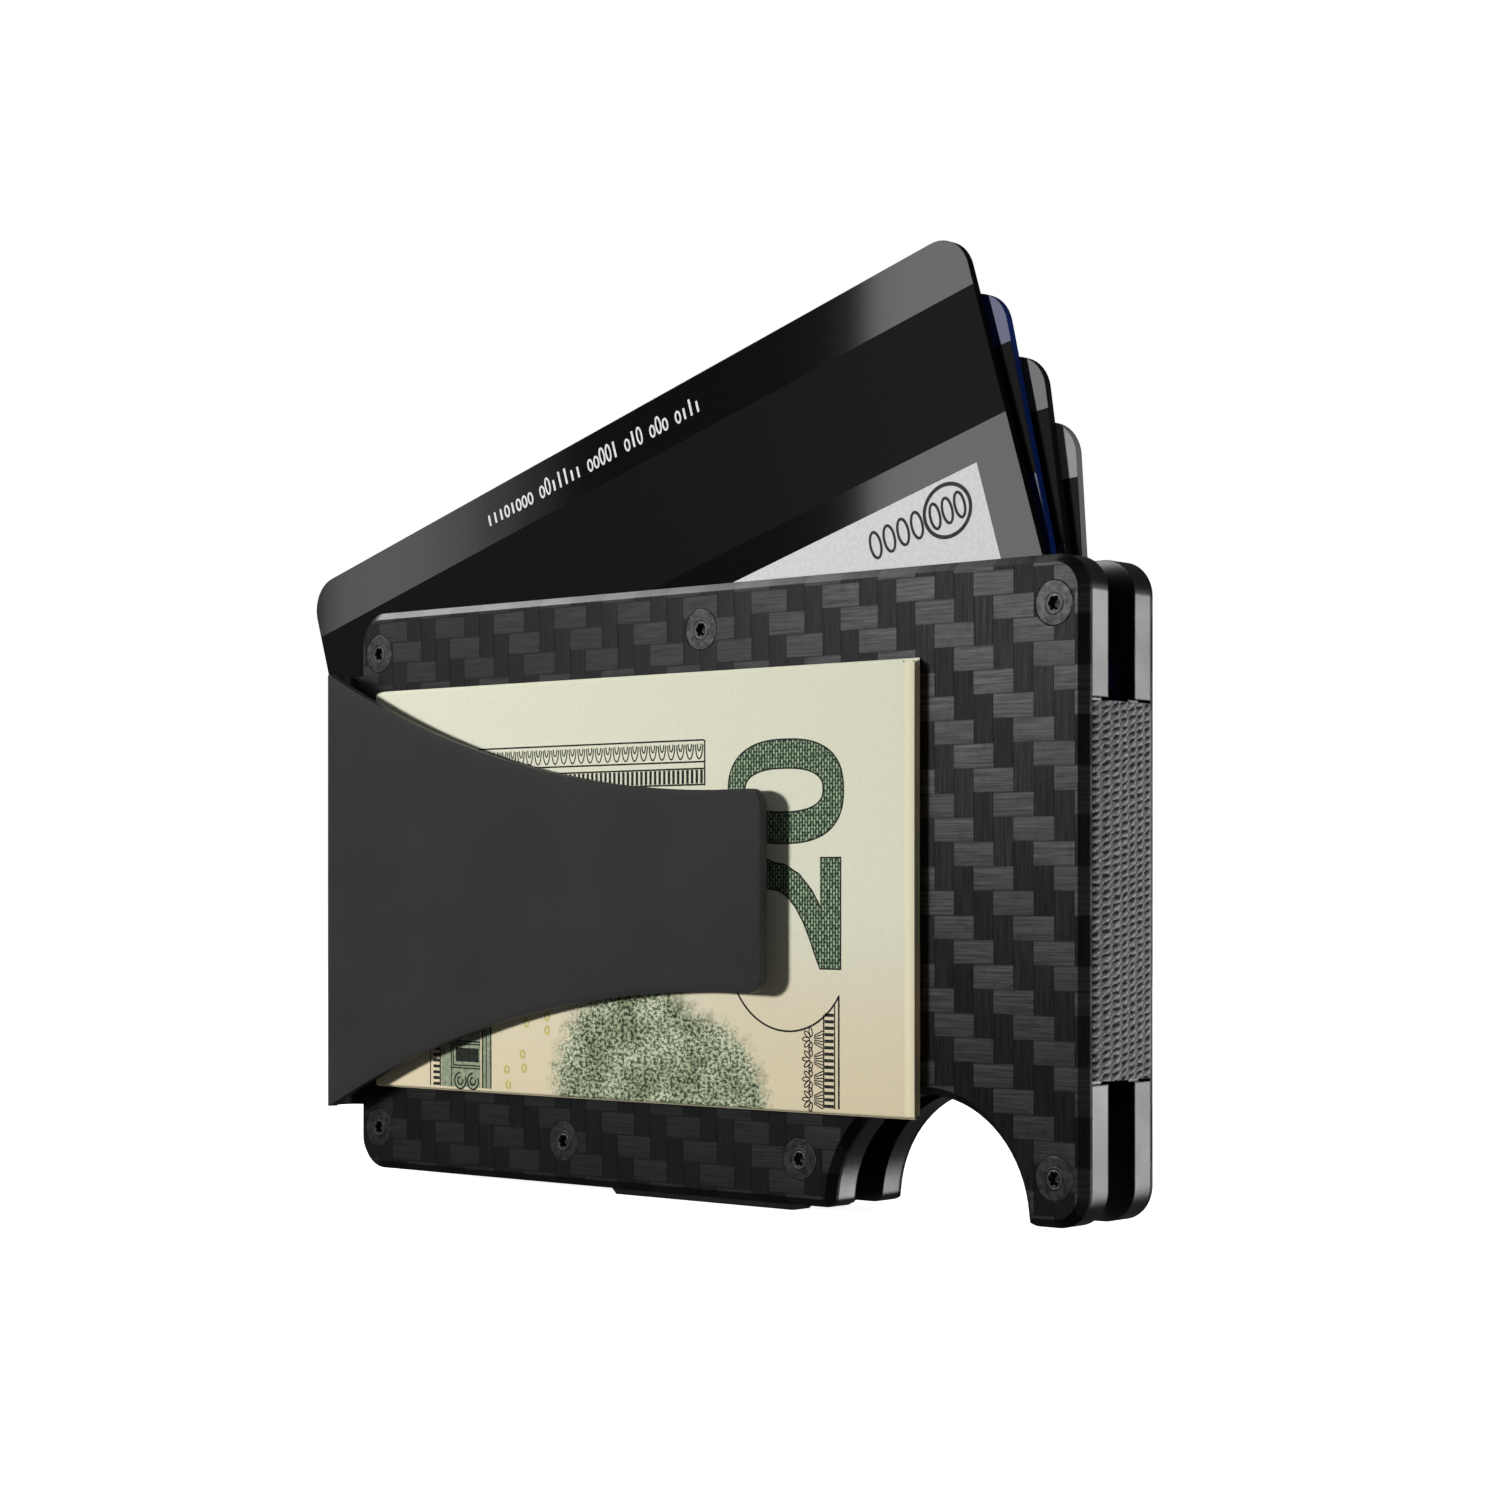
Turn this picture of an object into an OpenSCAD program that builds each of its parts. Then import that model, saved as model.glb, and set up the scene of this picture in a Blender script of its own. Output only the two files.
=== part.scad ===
// Minimalist card wallet: two stiff plate stacks held together by one wide elastic loop,
// a spring money clip on the front, four fanned cards between the stacks and three folded
// banknotes under the clip. Millimetres. X runs along the wallet, +Y points out of the rear
// face, +Z is up. The origin is the centre of the rear face.

/* [Plates] */
// Length of both plate stacks
plate_l = 86; // [86:0.5:96]
// Height of both plate stacks
plate_h = 54; // [54:0.5:60]
// Radius of the plates' corners
corner_r = 3; // [2:0.5:5]
// Thickness of an outer plate
outer_t = 1.0; // [1:0.1:1.6]
// Edge chamfer of an outer plate
chamfer = 0.7; // [0.3:0.1:0.8]
// Thickness of an inner plate
inner_t = 2.25; // [2.2:0.05:3]
// Height of the foot on the inner plates' bottom edges
foot_h = 0.55; // [0.3:0.05:1]

/* [Thumb notch] */
// Radius of the notch
notch_r = 10.1; // [8:0.1:11]
// Place of the notch's centre along the wallet
notch_x = 27; // [24:0.5:29]
// Radius of the notch's two bottom corners
notch_fillet = 1; // [0.5:0.1:1.5]

/* [Screws] */
// Diameter of the countersunk heads
head_d = 3.65; // [3.4:0.05:4]
// Diameter of the screw shanks
shank_d = 1.9; // [1.6:0.1:2]
// Distance of the corner screws from the wallet's middle, along X
screw_x = 40; // [38:0.25:40]
// Distance of the screws from the wallet's middle, along Z
screw_z = 23; // [22:0.25:23]

/* [Elastic band] */
// Width of the band
band_w = 30.4; // [24:0.2:30.6]
// Thickness of the band
band_t = 0.6; // [0.4:0.1:0.6]

/* [Money clip] */
// Thickness of the spring steel
clip_t = 0.8; // [0.5:0.1:0.8]
// Height of the clip at its bend
clip_root_h = 42; // [40:1:44]
// Height of the clip at its tongue
clip_tip_h = 17.5; // [14:0.5:20]
// Place of the clip's tip along the wallet
clip_tip_x = 12; // [8:1:16]

/* [Contents] */
// Clearance beside each card
card_clear = 0.16; // [0.12:0.02:0.3]
// Length of a folded banknote along the wallet
note_l = 66.3; // [60:0.5:70]
// Height of a folded banknote
note_h = 37.9; // [34:0.5:38]
// Thickness of one banknote folded into four layers
note_t = 0.42; // [0.3:0.02:0.42]

/* [Hidden] */
$fn = 64;

// A standard identity card, and how far each of the four is slid and turned out of the bay
card_l = 85.6;
card_h = 53.98;
card_t = 0.76;
card_r = 3.18;
card_x = [-5.15, -4.2, -3.43, -3.2];
card_z = [17.0, 14.5, 11.73, 9.1];
card_turn = [16.9, 12.9, 8.4, 3.9];
card_colour = ["dimgray", "midnightblue", "gray", "slategray"];

// Layers through the wallet: stack, bay, stack
stack_t = outer_t + inner_t;
bay_t = len(card_x) * (card_t + card_clear) + card_clear;
total_t = 2 * stack_t + bay_t;
y_front = -total_t;

// The foot's two ends along X
foot_x = [-9.7, 12.4];

// Screws: the two left corner screws of the front stack also hold the clip
top_screw_x = 2.1;
bottom_screw_x = [-14.9, 13.4];
middle_screws = [[top_screw_x, screw_z], [bottom_screw_x[0], -screw_z], [bottom_screw_x[1], -screw_z]];
right_screws = [[screw_x, screw_z], [screw_x, -screw_z]];
left_screws = [[-screw_x, screw_z], [-screw_x, -screw_z]];
screw_l = 2.7;
hole_d = shank_d + 0.1;
hole_depth = 2.9;
sink_d = head_d + 0.08;
lobe_r = 0.2;
recess_r = 0.42;
recess_depth = 0.5;

// Band: it lies in a channel of each inner plate and passes round their shortened ends
channel_h = band_w + 0.6;
channel_depth = band_t + 0.15;
end_cut = band_t + 0.05;
band_y = outer_t + 0.05 + band_t / 2;
band_end_x = plate_l / 2 - band_t / 2;
// Centre line of the loop seen from above, from the front right corner round to the left. The
// fanned cards push its left return out, and their corners its right return. Each point has
// its X at the band's top edge, its X at the band's bottom edge, and its Y
band_line = [
    [band_end_x, band_end_x, band_y], [-band_end_x, -band_end_x, band_y],
    [-49.95, -43.5, stack_t - 0.15], [-49.85, -43.65, stack_t + 1.1],
    [-47.2, -45.3, stack_t + 4.0], [-band_end_x, -band_end_x, total_t - band_y],
    [band_end_x, band_end_x, total_t - band_y],
    [band_end_x + 0.6, band_end_x + 0.6, stack_t + 1.95],
    [band_end_x + 0.6, band_end_x + 0.6, stack_t + 0.1]
];

// Clip: two tabs lie in a pocket of the front inner plate, and the sheet bends round the end
bend_r = 2.5;
bend_x = -plate_l / 2 + 0.1;
bend_y = outer_t + clip_t - bend_r;
tab_z = 15.8;
tab_l = 7;
tab_top = 24.9;
pocket_depth = clip_t + 0.05;
split_gap = 0.3;
arm_touch_x = 5;
arm_touch_y = -1.45;
arm_tip_y = -2.85;
waist_x = 7;
waist_r = 111;
tip_r = 1.6;

// Banknotes lie on the front face under the clip
note_x = -39.6;
note_z = -18.6;
note_lift = 0.03;
note_shift = [[0, 0], [0.3, -0.35], [0.6, -0.2]];

// A flat shape drawn in X and Z, made solid between two depths along Y
module slab(y0, y1) {
    translate([0, y1, 0]) rotate([90, 0, 0]) linear_extrude(y1 - y0) children();
}

// A rectangle with round corners, made of squares and circles
module rounded(l, h, r) {
    square([l - 2 * r, h], center = true);
    square([l, h - 2 * r], center = true);
    for (sx = [-1, 1], sz = [-1, 1])
        translate([sx * (l / 2 - r), sz * (h / 2 - r)]) circle(r);
}

// The thumb notch: a half circle on the bottom edge, with its two corners rounded off
module notch() {
    fillet_dx = sqrt(pow(notch_r + notch_fillet, 2) - pow(notch_fillet, 2));
    tangent = notch_r / (notch_r + notch_fillet);
    translate([notch_x, -plate_h / 2]) {
        circle(notch_r);
        for (s = [-1, 1])
            difference() {
                polygon([
                    [s * (notch_r - 2), -1], [s * (notch_r - 2), notch_fillet * tangent],
                    [s * fillet_dx * tangent, notch_fillet * tangent], [s * fillet_dx, 0],
                    [s * fillet_dx, -1]
                ]);
                translate([s * fillet_dx, notch_fillet]) circle(notch_fillet);
            }
    }
}

// Countersunk holes at the given places, from the outer face inwards
module screw_holes(places, depth) {
    for (p = places)
        translate([p[0], 0, p[1]]) rotate([-90, 0, 0]) {
            translate([0, 0, -0.01]) cylinder(d = hole_d, h = depth);
            translate([0, 0, -0.01])
                cylinder(d1 = sink_d + 0.02, d2 = hole_d, h = (sink_d - hole_d) / 2 + 0.01);
        }
}

// One screw: countersunk head, six-lobed recess and plain shank
module screw() {
    head_h = (head_d - shank_d) / 2;
    difference() {
        rotate([-90, 0, 0]) {
            cylinder(d1 = head_d, d2 = shank_d, h = head_h);
            cylinder(d = shank_d, h = screw_l);
        }
        slab(-1, recess_depth) {
            circle(recess_r, $fn = 24);
            for (a = [0 : 60 : 300])
                rotate(a) translate([recess_r, 0]) circle(lobe_r, $fn = 24);
        }
    }
}

module screws(places) {
    for (p = places) translate([p[0], 0, p[1]]) screw();
}

// An outer plate, drawn with its outer face at Y = 0 and its inside towards +Y
module outer_plate() {
    difference() {
        union() {
            slab(chamfer, outer_t) rounded(plate_l, plate_h, corner_r);
            hull() {
                slab(0, 0.01)
                    rounded(plate_l - 2 * chamfer, plate_h - 2 * chamfer, corner_r - chamfer);
                slab(chamfer, chamfer + 0.01) rounded(plate_l, plate_h, corner_r);
            }
        }
        slab(-1, outer_t + 1) notch();
        translate([notch_x, 0, -plate_h / 2]) rotate([-90, 0, 0])
            cylinder(r1 = notch_r + chamfer, r2 = notch_r, h = chamfer, $fn = 96);
        screw_holes(concat(middle_screws, right_screws, left_screws), outer_t + 1);
    }
}

// An inner plate, placed behind its outer plate
module inner_plate() {
    difference() {
        union() {
            slab(outer_t, stack_t)
                difference() {
                    rounded(plate_l, plate_h, corner_r);
                    notch();
                }
            slab(outer_t, stack_t)
                polygon([
                    [foot_x[0] + foot_h, -plate_h / 2 - foot_h],
                    [foot_x[1] - foot_h, -plate_h / 2 - foot_h],
                    [foot_x[1], -plate_h / 2], [foot_x[1], -plate_h / 2 + 1],
                    [foot_x[0], -plate_h / 2 + 1], [foot_x[0], -plate_h / 2]
                ]);
        }
        // channel that the band runs in
        translate([-plate_l, 0, -channel_h / 2]) cube([2 * plate_l, outer_t + channel_depth, channel_h]);
        // ends cut back so that the band lies flush
        for (s = [-1, 1])
            translate([s * (plate_l / 2 - end_cut + 5), stack_t / 2, 0])
                cube([10, 2 * stack_t, channel_h], center = true);
        translate([0, outer_t, 0])
            for (p = concat(middle_screws, right_screws, left_screws))
                translate([p[0], -0.01, p[1]]) rotate([-90, 0, 0])
                    cylinder(d = hole_d, h = hole_depth - outer_t);
    }
}

// The two pockets at the front inner plate's left end that hold the clip's tabs
module tab_pockets() {
    for (s = [0, 1])
        mirror([0, 0, s])
            translate([-plate_l / 2 - 1, 0, tab_z - 0.3])
                cube([tab_l + 1.5, outer_t + pocket_depth, tab_top - tab_z + 0.6]);
}

module front_outer_plate() {
    color("darkslategray") translate([0, y_front, 0]) outer_plate();
}

module front_inner_plate() {
    color("darkgray") translate([0, y_front, 0])
        difference() {
            inner_plate();
            tab_pockets();
        }
}

module rear_outer_plate() {
    color("darkslategray") mirror([0, 1, 0]) outer_plate();
}

module rear_inner_plate() {
    color("darkgray") mirror([0, 1, 0]) inner_plate();
}

module front_screws() {
    color("gray") translate([0, y_front, 0]) screws(concat(middle_screws, right_screws));
}

module clip_screws() {
    color("gray") translate([0, y_front, 0]) screws(left_screws);
}

module rear_screws() {
    color("gray") mirror([0, 1, 0]) screws(concat(middle_screws, right_screws, left_screws));
}

// Unit vector that points out of the loop, square to the way from point a to point b
function outward(a, b) = [a[1] - b[1], b[0] - a[0]] / norm(b - a);

// Point number i of the loop's centre line, at its top edge (edge 0) or its bottom edge (edge 1)
function band_point(i, edge) =
    let (p = band_line[(i + len(band_line)) % len(band_line)]) [p[edge], p[2]];

// The same point moved out to the band's outer face (side 1) or in to its inner face (side -1)
function band_corner(i, edge, side) =
    let (
        a = outward(band_point(i - 1, edge), band_point(i, edge)),
        b = outward(band_point(i, edge), band_point(i + 1, edge)),
        p = band_point(i, edge) + side * band_t * (a + b) / (1 + a * b) / 2
    ) [p[0], p[1], (0.5 - edge) * band_w];

module elastic_band() {
    count = len(band_line);
    corners = [
        for (i = [0 : count - 1])
            each [band_corner(i, 0, 1), band_corner(i, 0, -1), band_corner(i, 1, -1), band_corner(i, 1, 1)]
    ];
    // two triangles for each side of each stretch, split from its first top corner
    faces = [
        for (i = [0 : count - 1], k = [0 : 3])
            let (
                j = (i + 1) % count,
                next_k = (k + 1) % 4,
                q = [4 * i + k, 4 * j + k, 4 * j + next_k, 4 * i + next_k]
            )
            each k == 3 ? [[q[0], q[1], q[3]], [q[1], q[2], q[3]]] : [[q[0], q[1], q[2]], [q[0], q[2], q[3]]]
    ];
    color("slategray") translate([0, y_front, 0]) polyhedron(corners, faces);
}

// The clip's outline seen from the front: wide at the bend, a waist, and a narrow tongue
module clip_outline() {
    x_end = bend_x - bend_r - 1;
    half = clip_tip_h / 2;
    difference() {
        union() {
            translate([x_end, -clip_root_h / 2]) square([waist_x - x_end, clip_root_h]);
            translate([waist_x - 1, -half]) square([clip_tip_x - tip_r - waist_x + 1, 2 * half]);
            translate([waist_x - 1, -half + tip_r])
                square([clip_tip_x - waist_x + 1, 2 * (half - tip_r)]);
            for (s = [-1, 1]) translate([clip_tip_x - tip_r, s * (half - tip_r)]) circle(tip_r);
        }
        for (s = [-1, 1]) translate([waist_x, s * (half + waist_r)]) circle(waist_r, $fn = 256);
    }
}

// The bend's ring seen from above, cut to a quarter: side 1 is next to the tabs, side -1 the arm
module bend_quarter(side) {
    intersection() {
        translate([bend_x, bend_y])
            difference() {
                circle(bend_r);
                circle(bend_r - clip_t);
            }
        translate([bend_x - 2 * bend_r, side > 0 ? bend_y : bend_y - 2 * bend_r])
            square([2 * bend_r, 2 * bend_r]);
    }
}

// The fixed end of the clip: two screwed tabs and the near half of the bend
module clip_base() {
    color("dimgray") translate([0, y_front, 0])
        difference() {
            union() {
                translate([0, 0, -clip_root_h / 2]) linear_extrude(clip_root_h) bend_quarter(1);
                for (s = [0, 1])
                    mirror([0, 0, s]) {
                        translate([bend_x - 0.01, outer_t, tab_z])
                            cube([1, clip_t, clip_root_h / 2 - tab_z]);
                        translate([bend_x + 0.3, outer_t, tab_z])
                            cube([tab_l - 0.4, clip_t, tab_top - tab_z]);
                    }
            }
            // room for the band, which leaves the same end of the wallet
            translate([bend_x - 5, outer_t - 0.4, -tab_z]) cube([10, 5, 2 * tab_z]);
            for (p = left_screws)
                translate([p[0], 0, p[1]]) rotate([-90, 0, 0]) cylinder(d = hole_d, h = 5);
        }
}

// The moving end of the clip: the far half of the bend, the arm, and the flared tip
module clip_arm() {
    color("dimgray") translate([0, y_front, 0])
        intersection() {
            translate([0, 0, -clip_root_h / 2])
                linear_extrude(clip_root_h) {
                    difference() {
                        bend_quarter(-1);
                        translate([bend_x - 2 * bend_r, bend_y - split_gap])
                            square([2 * bend_r, split_gap + 1]);
                    }
                    polygon([
                        [bend_x, bend_y - bend_r], [arm_touch_x, arm_touch_y - clip_t],
                        [clip_tip_x, arm_tip_y - clip_t], [clip_tip_x, arm_tip_y],
                        [arm_touch_x, arm_touch_y], [bend_x, bend_y - bend_r + clip_t]
                    ]);
                }
            slab(-10, 10) clip_outline();
        }
}

// One card in the bay, slid and turned out of it. Card 1 is next to the front stack
module card(i) {
    y = y_front + stack_t + card_clear + i * (card_t + card_clear);
    color(card_colour[i])
        slab(y, y + card_t)
            translate([card_x[i], card_z[i]]) rotate(card_turn[i]) rounded(card_l, card_h, card_r);
}

// One folded banknote. Banknote 1 is next to the plate and banknote 3 is under the clip
module banknote(i) {
    y = y_front - note_lift - i * note_t;
    color("beige")
        translate([note_x + note_shift[i][0], y - note_t, note_z + note_shift[i][1]])
            cube([note_l - note_shift[i][0], note_t, note_h]);
}

front_outer_plate();
front_inner_plate();
front_screws();
clip_screws();
rear_outer_plate();
rear_inner_plate();
rear_screws();
elastic_band();
clip_base();
clip_arm();
card(0);  // card_1
card(1);  // card_2
card(2);  // card_3
card(3);  // card_4
banknote(0);  // banknote_1
banknote(1);  // banknote_2
banknote(2);  // banknote_3
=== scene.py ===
"""Looks of the minimalist card wallet: materials, fine meshes, light and camera.

Lengths are in metres. X runs along the wallet, -Y points out of its front and Z is up. The
banknotes' print is worked out on the front of the notes, where "across" is Z and "up" is -X,
because the notes lie turned on their side.
"""

import math
import random

import bmesh
import bpy
import numpy as np
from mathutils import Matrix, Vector


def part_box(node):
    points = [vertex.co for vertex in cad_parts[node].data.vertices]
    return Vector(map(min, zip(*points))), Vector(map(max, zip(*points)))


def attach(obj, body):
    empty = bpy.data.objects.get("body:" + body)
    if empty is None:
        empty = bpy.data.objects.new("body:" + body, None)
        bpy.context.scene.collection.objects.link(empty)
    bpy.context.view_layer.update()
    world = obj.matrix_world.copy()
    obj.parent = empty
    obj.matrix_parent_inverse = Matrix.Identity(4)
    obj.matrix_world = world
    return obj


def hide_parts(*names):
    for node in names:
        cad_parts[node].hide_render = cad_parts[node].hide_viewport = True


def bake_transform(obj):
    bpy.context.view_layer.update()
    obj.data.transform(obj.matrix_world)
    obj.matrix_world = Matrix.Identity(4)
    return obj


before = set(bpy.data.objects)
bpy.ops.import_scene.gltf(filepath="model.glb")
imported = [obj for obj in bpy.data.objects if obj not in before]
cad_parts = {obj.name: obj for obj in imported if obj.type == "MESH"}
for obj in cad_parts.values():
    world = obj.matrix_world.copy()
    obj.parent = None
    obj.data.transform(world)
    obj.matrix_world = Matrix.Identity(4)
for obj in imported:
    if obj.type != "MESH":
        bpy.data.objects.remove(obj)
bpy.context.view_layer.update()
random.seed(7)

MM = 0.001
FRONT_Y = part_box("front_outer_plate")[0][1]
PLATE_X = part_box("front_outer_plate")[1][0]
FLOOR_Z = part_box("front_inner_plate")[0][2]
NOTE_FRONT_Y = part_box("banknote_3")[0][1]
NOTE_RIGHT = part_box("banknote_3")[1][0]

# width of one flat tow in the plates' weave
TOW = 2.0 * MM
# the screws' places along X and Z in millimetres; the two at SCREW_X also hold the clip
SCREW_X = -40.0
SCREW_Z = 23.0
SCREW_PLACES = [(x, SCREW_Z) for x in (SCREW_X, 2.1, 40.0)]
SCREW_PLACES += [(x, -SCREW_Z) for x in (SCREW_X, -14.9, 13.4, 40.0)]
BAND_W = 30.4 * MM
CARD_L = 85.6 * MM
CARD_H = 53.98 * MM
# each card's centre along X and Z in millimetres, and its turn in degrees
CARD_PLACE = {1: (-5.15, 17.0, 16.9), 2: (-4.2, 14.5, 12.9), 3: (-3.43, 11.73, 8.4), 4: (-3.2, 9.1, 3.9)}
# distance between the painted shade lines at the notes' layered ends
LAYER_PITCH = 0.28 * MM


# ---------------------------------------------------------------- shader helpers


class Shader:
    """A material and short ways to add nodes to it. Sockets take numbers, colours or sockets."""

    def __init__(self, name, **settings):
        self.material = bpy.data.materials.new(name)
        self.material.use_nodes = True
        self.tree = self.material.node_tree
        self.bsdf = self.tree.nodes["Principled BSDF"]
        for key, value in settings.items():
            self.set(key.replace("_", " "), value)

    def plug(self, socket, value):
        """Links a socket or sets a plain value; None leaves the socket as it is."""
        if isinstance(value, bpy.types.NodeSocket):
            self.tree.links.new(value, socket)
        elif value is not None:
            socket.default_value = value

    def set(self, name, value):
        self.plug(self.bsdf.inputs[name], value)

    def node(self, kind, **settings):
        made = self.tree.nodes.new("ShaderNode" + kind)
        for key, value in settings.items():
            setattr(made, key, value)
        return made

    def math(self, operation, a, b=None, c=None):
        made = self.node("Math", operation=operation)
        for socket, value in zip(made.inputs, (a, b, c)):
            self.plug(socket, value)
        return made.outputs[0]

    def length(self, a, b):
        """The length of the flat arrow (a, b)."""
        return self.math("SQRT", self.math("ADD", self.math("POWER", a, 2.0), self.math("POWER", b, 2.0)))

    def mix(self, factor, a, b):
        made = self.node("Mix", data_type="RGBA")
        self.plug(made.inputs[0], factor)
        self.plug(made.inputs[6], a)
        self.plug(made.inputs[7], b)
        return made.outputs[2]

    def step(self, value, low, high):
        """0 below low and 1 above high, with a smooth rise between."""
        made = self.node("MapRange", interpolation_type="SMOOTHSTEP")
        self.plug(made.inputs[0], value)
        self.plug(made.inputs[1], low)
        self.plug(made.inputs[2], high)
        return made.outputs[0]

    def vector(self, x, y, z):
        made = self.node("CombineXYZ")
        for socket, value in zip(made.inputs, (x, y, z)):
            self.plug(socket, value)
        return made.outputs[0]

    def stretched(self, place, scales):
        """The place with each axis multiplied by its own scale; a scale of 0 drops the axis."""
        return self.vector(*(self.math("MULTIPLY", v, k) if k else 0.0 for v, k in zip(place, scales)))

    def axes(self, source="Object"):
        coordinates = self.node("TexCoord").outputs[source]
        made = self.node("SeparateXYZ")
        self.plug(made.inputs[0], coordinates)
        return made.outputs

    def noise(self, vector, scale, detail=2.0, roughness=0.5):
        made = self.node("TexNoise")
        self.plug(made.inputs["Vector"], vector)
        self.plug(made.inputs["Scale"], scale)
        self.plug(made.inputs["Detail"], detail)
        self.plug(made.inputs["Roughness"], roughness)
        return made.outputs["Fac"]

    def bump(self, height, distance, strength=1.0, normal=None):
        made = self.node("Bump")
        self.plug(made.inputs["Height"], height)
        self.plug(made.inputs["Distance"], distance)
        self.plug(made.inputs["Strength"], strength)
        self.plug(made.inputs["Normal"], normal)
        self.set("Normal", made.outputs[0])

    def round_edges(self, radius):
        made = self.node("Bevel", samples=4)
        self.plug(made.inputs["Radius"], radius)
        return made.outputs[0]


def grey(value):
    return (value, value, value, 1)


def tile_random(s, a, b):
    """A number from 0 to 1 that is the same all over the tile (a, b)."""
    made = s.node("TexWhiteNoise", noise_dimensions="2D")
    s.plug(made.inputs["Vector"], s.vector(a, b, 0.0))
    return made.outputs["Value"]


# ---------------------------------------------------------------- materials


def weave_material():
    """2x2 twill of flat fibre tows. Tiles whose tows lie along X are painted lighter and those along Z
    darker, a painted reflection of the tows' sheen. The cut edges are painted darker: painted shade."""
    s = Shader("weave", Metallic=0.85, Roughness=0.36, Specular_IOR_Level=0.3)
    place = s.axes()
    x, _, z = place
    across = s.math("DIVIDE", x, TOW)
    along = s.math("DIVIDE", z, TOW)
    i = s.math("FLOOR", across)
    j = s.math("FLOOR", along)
    fx = s.math("FRACT", across)
    fz = s.math("FRACT", along)
    order = s.math("FLOORED_MODULO", s.math("ADD", i, j), 4.0)
    group = s.math("FLOOR", s.math("DIVIDE", s.math("ADD", i, j), 4.0))
    lies_along_x = s.math("LESS_THAN", order, 1.5)

    def pick(for_z, for_x):
        made = s.node("Mix", data_type="FLOAT")
        for socket, value in ((0, lies_along_x), (2, for_z), (3, for_x)):
            s.plug(made.inputs[socket], value)
        return made.outputs[0]

    def from_edge(fraction):
        return s.math("SUBTRACT", 0.5, s.math("ABSOLUTE", s.math("SUBTRACT", fraction, 0.5)))

    fine = s.noise(s.stretched(place, (900.0, 0, 900.0)), 1.0, 2.0)
    streaks_x = s.noise(s.stretched(place, (200.0, 0, 5200.0)), 1.0, 3.0, 0.7)
    streaks_z = s.noise(s.stretched(place, (5200.0, 0, 200.0)), 1.0, 3.0, 0.7)

    # painted reflection: tiles with tows along X are painted brighter, with bright streaks along their
    # fibres; tiles along Z are painted darker as painted shade
    light = s.mix(s.step(streaks_x, 0.3, 0.72), grey(0.057), grey(0.14))
    light = s.mix(s.math("MULTIPLY", tile_random(s, group, j), 0.4), light, grey(0.054))
    dark = s.mix(s.step(streaks_z, 0.3, 0.72), grey(0.018), grey(0.047))
    dark = s.mix(s.math("MULTIPLY", tile_random(s, i, group), 0.5), dark, grey(0.012))
    colour = s.mix(lies_along_x, dark, light)
    colour = s.mix(s.math("MULTIPLY", s.step(fine, 0.5, 0.75), 0.25), colour, grey(0.02))
    # painted light: the tiles stand out most towards the plate's right end, where their painted sheen is
    # strongest, and fade to an even grey towards the left
    contrast = s.math("MULTIPLY_ADD", s.step(x, 4 * MM, 28 * MM), 0.5, 0.5)
    colour = s.mix(contrast, grey(0.047), colour)
    inset = pick(from_edge(fx), from_edge(fz))
    colour = s.mix(s.step(inset, 0.0, 0.07), s.mix(0.5, colour, grey(0.006)), colour)
    # painted shade: the cut edges and chamfers, whose faces don't look along Y, are painted darker
    flat = s.step(s.math("ABSOLUTE", s.axes("Normal")[1]), 0.8, 0.97)
    s.set("Base Color", s.mix(flat, s.mix(0.65, colour, grey(0.004)), colour))
    relief = s.math("ADD", s.step(inset, 0.0, 0.3), s.math("MULTIPLY", streaks_x, 0.3))
    s.bump(relief, 0.02 * MM, 0.35, s.round_edges(0.12 * MM))
    return s.material


def inner_plate_material():
    """Dark anodised metal, with fine machining lines."""
    s = Shader("inner_plate", Metallic=1.0, Roughness=0.24)
    place = s.axes()
    lines = s.noise(s.stretched(place, (90.0, 9000.0, 90.0)), 1.0, 3.0, 0.6)
    blotches = s.noise(s.vector(*place), 160.0, 3.0)
    s.set("Base Color", s.mix(s.step(blotches, 0.3, 0.75), grey(0.13), grey(0.18)))
    s.bump(lines, 0.004 * MM, 0.5, s.round_edges(0.2 * MM))
    return s.material


def screw_material():
    """Blackened steel with turned rings, painted shade round its rim and a painted highlight at the recess.
    """
    s = Shader("screw_steel", Metallic=0.9, Roughness=0.36)
    x, y, z = s.axes()
    radius = 1.0
    for cx, cz in SCREW_PLACES:
        dx = s.math("SUBTRACT", x, cx * MM)
        dz = s.math("SUBTRACT", z, cz * MM)
        radius = s.math("MINIMUM", radius, s.math("DIVIDE", s.length(dx, dz), MM))
    soot = s.noise(s.vector(x, y, z), 1700.0, 4.0, 0.65)
    rings = s.math("SINE", s.math("MULTIPLY", s.math("MULTIPLY_ADD", soot, 0.05, radius), 2 * math.pi / 0.27))
    colour = s.mix(s.step(soot, 0.3, 0.7), grey(0.05), grey(0.14))
    colour = s.mix(s.math("MULTIPLY", s.step(rings, -0.2, 0.9), 0.35), colour, grey(0.02))
    # painted highlight: a bright ring round the recess in the head
    beyond_recess_highlight = s.math("SUBTRACT", 1.0, s.step(radius, 0.62, 0.85))
    recess_highlight = s.math("MULTIPLY", s.step(radius, 0.5, 0.62), beyond_recess_highlight)
    colour = s.mix(s.math("MULTIPLY", recess_highlight, 0.6), colour, grey(0.25))
    # painted shade: a black ring at the head's rim, for the shadowed gap between the screw and the plate
    colour = s.mix(s.step(radius, 1.5, 1.58), colour, grey(0.001))
    s.set("Base Color", colour)
    s.bump(s.math("ADD", rings, soot), 0.012 * MM, 0.7, s.round_edges(0.1 * MM))
    return s.material


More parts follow.
